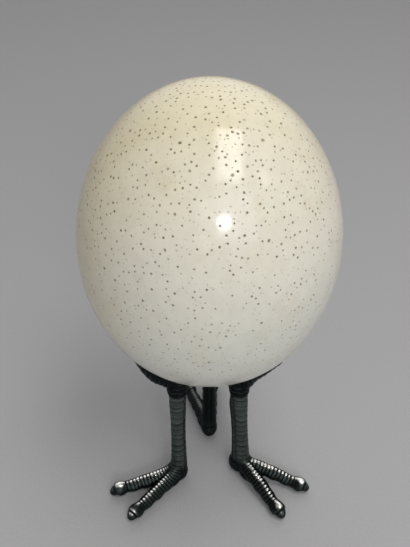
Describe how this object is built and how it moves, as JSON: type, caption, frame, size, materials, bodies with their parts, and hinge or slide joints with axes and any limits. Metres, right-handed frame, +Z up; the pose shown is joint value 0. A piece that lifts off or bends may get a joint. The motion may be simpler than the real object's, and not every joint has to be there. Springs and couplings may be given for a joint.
{
  "type": "ostrich egg on a bird-foot stand",
  "caption": "Polished ostrich egg, point up, resting in a cast-metal cradle carried by bird legs with two-toed feet.",
  "frame": {"origin": "on the floor under the middle of the egg", "axes": "+Z up along the egg, the front pair of legs towards -Y, one to each side, the back leg towards +Y"},
  "size_m": [0.127, 0.127, 0.2368],
  "materials": {
    "eggshell": "polished ivory shell with dark pores",
    "patinated_bronze": "dark green-black patina, worn bright on the ridges of the toes"
  },
  "bodies": {
    "root": {"egg": "eggshell", "cradle_ring": "patinated_bronze", "cradle_arm_left": "patinated_bronze", "cradle_arm_right": "patinated_bronze", "cradle_arm_back": "patinated_bronze", "leg_left": "patinated_bronze", "leg_right": "patinated_bronze", "leg_back": "patinated_bronze"}
  },
  "joints": []
}
